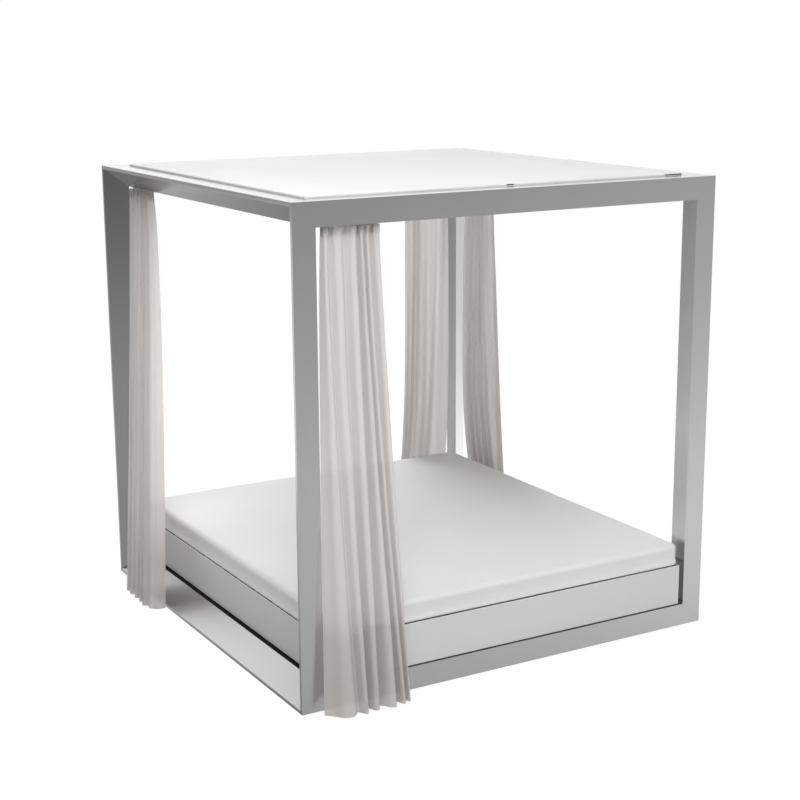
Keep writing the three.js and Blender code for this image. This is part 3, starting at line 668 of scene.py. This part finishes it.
def add_mattress(material):
    low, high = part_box("mattress")
    centre = (low + high) / 2
    half_x, half_y = (high.x - low.x) / 2, (high.y - low.y) / 2
    body = high.z - low.z - MATTRESS_CROWN
    edge, under = MATTRESS_EDGE, MATTRESS_UNDER_EDGE
    # Each ring: how far inside the outline, how high, and how much of the draw-in it keeps
    profile = [
        (under * (1 - math.sin(a)), under * (1 - math.cos(a)), 1) for a in quarter(UNDER_RINGS)
    ]
    profile += [
        (MATTRESS_DRAW * math.sin(math.pi * t), lerp(under, body - edge, t), 1)
        for t in shares(SIDE_RINGS)
    ]
    profile += [
        (edge * (1 - math.cos(a)), body - edge * (1 - math.sin(a)), 1) for a in quarter(EDGE_RINGS)
    ]
    for t in shares(TOP_RINGS):
        rise = math.sin(math.pi / 2 * min(1, MATTRESS_CROWN_RISE * t))
        profile.append((lerp(edge, half_x, t), body + MATTRESS_CROWN * rise, 1 - t))
    rows, uvs = [], []
    for inset, height, pull in profile:
        ring = rounded_rectangle(
            half_x - inset, half_y - inset, max(MATTRESS_CORNER - inset, edge),
            MATTRESS_CORNER_STEPS, MATTRESS_SIDE_STEPS, MATTRESS_DRAW * pull,
        )
        row = []
        for p in ring:
            spot = Vector((p.x * WAVER_ACROSS, p.y * WAVER_ACROSS, height * WAVER_UP))
            lift = height + MATTRESS_WAVER * noise.noise(spot) * min(1, height / under)
            row.append(Vector((centre.x + p.x, centre.y + p.y, low.z + lift)))
        rows.append(row)
        uvs.append([(p.x, p.y + height - body) for p in ring])
    mesh = grid_mesh("mattress", rows, uvs, closed=True)
    piece = new_piece("mattress_pad", mesh, material, "frame")
    puff_up(piece, low.z + under, MATTRESS_SWELL)
    close_rings(piece.data, above=0)
    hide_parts("mattress")


ROOF_EDGE = 0.007  # the radius of its edges and of its corners
ROOF_CORNER = 0.012
ROOF_CORNER_SHRINK = 0.2  # how fast the rings' corners get tighter inwards
ROOF_SKIRT_RINGS = (0, 0.35, 0.7)
ROOF_EDGE_RINGS = 6
ROOF_TOP_RINGS = 19
ROOF_RING_STEP = 0.012
ROOF_RING_GROWTH = 1.45  # how fast the steps grow towards the middle
ROOF_CORNER_STEPS, ROOF_SIDE_STEPS = 4, 64
ROOF_LAY = 0.0007  # how far it lies below its edge
ROOF_SAG = 0.0012  # how far its middle hangs below that
ROOF_SAG_REACH = 0.5  # from its edge
ROOF_PULL = 0.0004  # the small unevenness of the taut sheet, and how fast that changes
ROOF_PULL_SCALE = 6
ROOF_PULL_SEED = 2


def add_roof(material):
    """One taut sheet, rolled over its edges into the skirt."""
    low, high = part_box("roof_fabric")
    half_x, half_y = (high.x - low.x) / 2, (high.y - low.y) / 2
    top, edge = high.z, ROOF_EDGE
    # Each ring: how far inside the outline and how high
    profile = [(0, lerp(low.z, top - edge, t)) for t in ROOF_SKIRT_RINGS]
    profile += [
        (edge * (1 - math.cos(a)), top - edge * (1 - math.sin(a)))
        for a in quarter(ROOF_EDGE_RINGS)
    ]
    profile += [
        (edge + ROOF_RING_STEP * i ** ROOF_RING_GROWTH, top) for i in range(1, ROOF_TOP_RINGS + 1)
    ]
    rows, uvs = [], []
    for inset, z in profile:
        ring = rounded_rectangle(
            half_x - inset, half_y - inset,
            max(ROOF_CORNER - inset * ROOF_CORNER_SHRINK, ROOF_CORNER / 2),
            ROOF_CORNER_STEPS, ROOF_SIDE_STEPS,
        )
        row = []
        for p in ring:
            depth = min(half_x - abs(p.x), half_y - abs(p.y))
            sag = ROOF_LAY + ROOF_SAG * eased(min(1, depth / ROOF_SAG_REACH))
            spot = Vector((p.x * ROOF_PULL_SCALE, p.y * ROOF_PULL_SCALE, ROOF_PULL_SEED))
            pull = ROOF_PULL * noise.noise(spot)
            row.append(Vector((p.x, p.y, z - sag + pull if inset > edge else z)))
        rows.append(row)
        uvs.append([(p.x, p.y + z - top) for p in ring])
    mesh = grid_mesh("roof", rows, uvs, closed=True)
    close_rings(mesh, above=top - edge / 2)
    piece = new_piece("roof_cover", mesh, material, "frame")
    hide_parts("roof_fabric")


# The stage: a pale floor, a studio sky for reflections and soft lamps

# The sky's brightness towards each side, by the height of a direction, from -1 straight down to
# 1 straight up
HEIGHTS = (-1, -0.42, -0.31, -0.26, -0.22, -0.19, -0.17, -0.1, 0, 0.1, 0.25, 0.5, 1)
SKY = {
    "front": (0.42, 0.5, 0.51, 0.42, 0.38, 0.35, 0.34, 0.28, 0.18, 0.14, 0.12, 0.12, 0.15),
    "left": (0.2, 0.25, 0.26, 0.36, 0.55, 0.42, 0.28, 0.05, 0.04, 0.1, 0.12, 0.2, 0.15),
    "back": (0.2, 0.2, 0.6, 0.7, 0.6, 0.5, 0.46, 0.42, 0.6, 1.5, 1.1, 0.5, 0.3),
    "right": (0.3, 0.3, 1.7, 1.5, 1.15, 1, 0.95, 0.82, 0.8, 0.75, 0.7, 0.3, 0.15),
}
SIDE_AXES = {"front": ("Y", -1), "left": ("X", -1), "back": ("Y", 1), "right": ("X", 1)}
SMALL = 0.0001  # keeps a division by zero out of the directions straight up and down

FLOOR_HALF_WIDTH = 400
FLOOR_DROP = 0.0005  # below the pads, so that their faces stay apart
FLOOR_LIT = 0.63  # its shade for the light that it throws back
FLOOR_SEEN = 0.3  # its shade under the camera's glow
FLOOR_GLOW = 0.8
GLOW_START, GLOW_FULL = 0.93, 1.0  # from the middle, as half the sides of a square
FADE_START, FADE_END = 2.2, 4.2  # from the middle, where the floor turns plain white

MIDDLE = (0, 0, 0.6)  # what most of the lamps aim at


def emptied(tree):
    tree.nodes.clear()
    return Graph(tree)


def grey(value):
    return (value, value, value, 1)


def add_world():
    world = bpy.data.worlds.new("studio")
    scene.world = world
    world.use_nodes = True
    graph = emptied(world.node_tree)
    place = graph.node("TexCoord").outputs["Generated"]
    split = graph.node("SeparateXYZ", place).outputs
    squares = [graph.math("MULTIPLY", split[axis], split[axis]) for axis in "XY"]
    level = graph.math("ADD", graph.math("ADD", *squares), SMALL)
    # The ramps run from 0 straight down to 1 straight up.
    height = graph.math("MULTIPLY_ADD", split["Z"], 0.5, 0.5)
    total = None
    for side, values in SKY.items():
        axis, sign = SIDE_AXES[side]
        facing = graph.math("MAXIMUM", graph.math("MULTIPLY", split[axis], sign), 0)
        share = graph.math("DIVIDE", graph.math("MULTIPLY", facing, facing), level)
        ramp = graph.node("ValToRGB", height)
        elements = ramp.color_ramp.elements
        while len(elements) < len(values):
            elements.new(1.0)
        for element, z, value in zip(elements, HEIGHTS, values):
            element.position = (z + 1) / 2
            element.color = grey(value)
        part = graph.math("MULTIPLY", ramp.outputs["Color"], share)
        total = graph.math("ADD", total, part) if total else part
    sky = graph.node("Background", total).outputs["Background"]
    white = graph.node("Background", grey(1)).outputs["Background"]
    path = graph.node("LightPath").outputs
    plain = graph.math("MAXIMUM", path["Is Camera Ray"], path["Is Transmission Ray"])
    graph.node("OutputWorld", graph.blend(plain, sky, white))


def floor_material():
    """White for the camera, matt for light, and left out of reflections."""
    material = bpy.data.materials.new("floor")
    material.use_nodes = True
    graph = emptied(material.node_tree)
    lit = graph.node("BsdfDiffuse", grey(FLOOR_LIT)).outputs["BSDF"]
    faint = graph.node("BsdfDiffuse", grey(FLOOR_SEEN)).outputs["BSDF"]
    place = graph.node("TexCoord").outputs["Object"]
    axes = graph.node("SeparateXYZ", place).outputs
    reach = graph.math("MAXIMUM", *(graph.math("ABSOLUTE", axes[axis]) for axis in "XY"))
    # It stays dark under the base, where light doesn't get.
    glow = graph.spread(reach, 0, FLOOR_GLOW, GLOW_START, GLOW_FULL)
    shine = graph.node("Emission", grey(1), glow).outputs["Emission"]
    near = graph.node("AddShader", faint, shine).outputs["Shader"]
    distance = graph.node("VectorMath", place, operation="LENGTH").outputs["Value"]
    fade = graph.spread(distance, 0, 1, FADE_START, FADE_END)
    plain = graph.node("Emission", grey(1), 1).outputs["Emission"]
    seen = graph.blend(fade, near, plain)
    path = graph.node("LightPath").outputs
    solid = graph.blend(path["Is Camera Ray"], lit, seen)
    clear = graph.node("BsdfTransparent").outputs["BSDF"]
    graph.node("OutputMaterial", graph.blend(path["Is Glossy Ray"], solid, clear))
    return material


def add_floor():
    edit = bmesh.new()
    bmesh.ops.create_grid(edit, x_segments=8, y_segments=8, size=FLOOR_HALF_WIDTH)
    mesh = bpy.data.meshes.new("floor")
    edit.to_mesh(mesh)
    edit.free()
    floor = bpy.data.objects.new("floor", mesh)
    floor.location.z = -FLOOR_DROP
    scene.collection.objects.link(floor)
    dress(floor, floor_material())


def add_lamp(name, place, target, size, power, glossy=False, spread=180):
    lamp = bpy.data.objects.new(name, bpy.data.lights.new(name, "AREA"))
    lamp.data.shape = "RECTANGLE"
    lamp.data.size, lamp.data.size_y = size
    lamp.data.energy = power
    lamp.data.spread = math.radians(spread)
    lamp.location = place
    aim = Vector(target) - Vector(place)
    lamp.rotation_euler = aim.to_track_quat("-Z", "Y").to_euler()
    lamp.visible_glossy = glossy
    lamp.visible_camera = False
    scene.collection.objects.link(lamp)


# The scene

def drawn_along(member):
    """The axis along which a member of the frame was drawn."""
    if member.startswith("post"):
        return "z"
    return "y" if member.endswith(("left", "right")) else "x"


add_camera()

looks = {
    "frame_x": anodised("frame_metal_x", FRAME_METAL, 0.2, "x"),
    "frame_y": anodised("frame_metal_y", FRAME_METAL, 0.2, "y"),
    "frame_z": anodised("frame_metal_z", FRAME_METAL, 0.2, "z"),
    "connector": cast("connector_casting", (0.55, 0.56, 0.57)),
    "pad": rubber("pad_rubber", (0.03, 0.03, 0.03)),
    "track": anodised("track_metal", (0.78, 0.79, 0.80), 0.35, "x"),
    "glider": plastic("glider_plastic", (0.8, 0.8, 0.79), 0.45),
    "curtain": curtain_cloth(),
    "panel": lacquer("panel_lacquer", (0.73, 0.735, 0.74), 0.42),
    # Painted shade: the slats are near black, so that the seam between the mattress and the base
    # panel shows dark.
    "slat": timber("slat_timber_painted_shade", (0.03, 0.024, 0.02), (0.075, 0.06, 0.05)),
    # Painted shade: the strips in the gaps beside the base are near black, to stand for the shade
    # there.
    "shadow": plastic("painted_shade_black", (0.004, 0.004, 0.004), 0.8),
    "mattress": coated_cloth("mattress_cloth", WHITE_CLOTH, MATTRESS_WEAVE),
    "roof_fabric": coated_cloth("roof_cloth", WHITE_CLOTH, ROOF_WEAVE),
    "structure": anodised("structure_metal", (0.6, 0.61, 0.62), 0.42, "x"),
}

for entry in frame["record"]["subparts"]:
    node, slot = entry["node"], entry["material_slot"]
    look = looks["frame_" + drawn_along(node)] if slot == "frame" else looks[slot]
    if slot in EDGE_WIDTHS:
        soften_edges(node, look, slot)
    else:
        dress(nodes[node], look)

for side in CURTAINS:
    add_curtain(side, looks["curtain"])
add_mattress(looks["mattress"])
add_roof(looks["roof_fabric"])

add_world()
add_floor()
add_lamp("key", (-2.8, -2.2, 7), MIDDLE, size=(3.5, 3.5), power=142)
add_lamp("front_key", (-2.2, -4.5, 6), MIDDLE, size=(3, 3), power=190)
add_lamp("front_soft", (1.6, -6.6, 2.1), MIDDLE, size=(3, 3), power=90)
add_lamp("back_high", (1, 5, 7), MIDDLE, size=(4, 4), power=130)
add_lamp("back_soft", (1.5, 6.5, 2.5), MIDDLE, size=(4, 4), power=240)
add_lamp("curtain_fill", (-4.8, -1.9, 1.3), (0.95, 0.75, 1.15), size=(0.5, 0.5), power=1.6,
         spread=20)
add_lamp("left_card", (-2.1, 1.6, 0.85), (-1, -1, 0.85), size=(1.1, 1.6), power=2.3,
         glossy=True)

scene.view_settings.view_transform = "Standard"
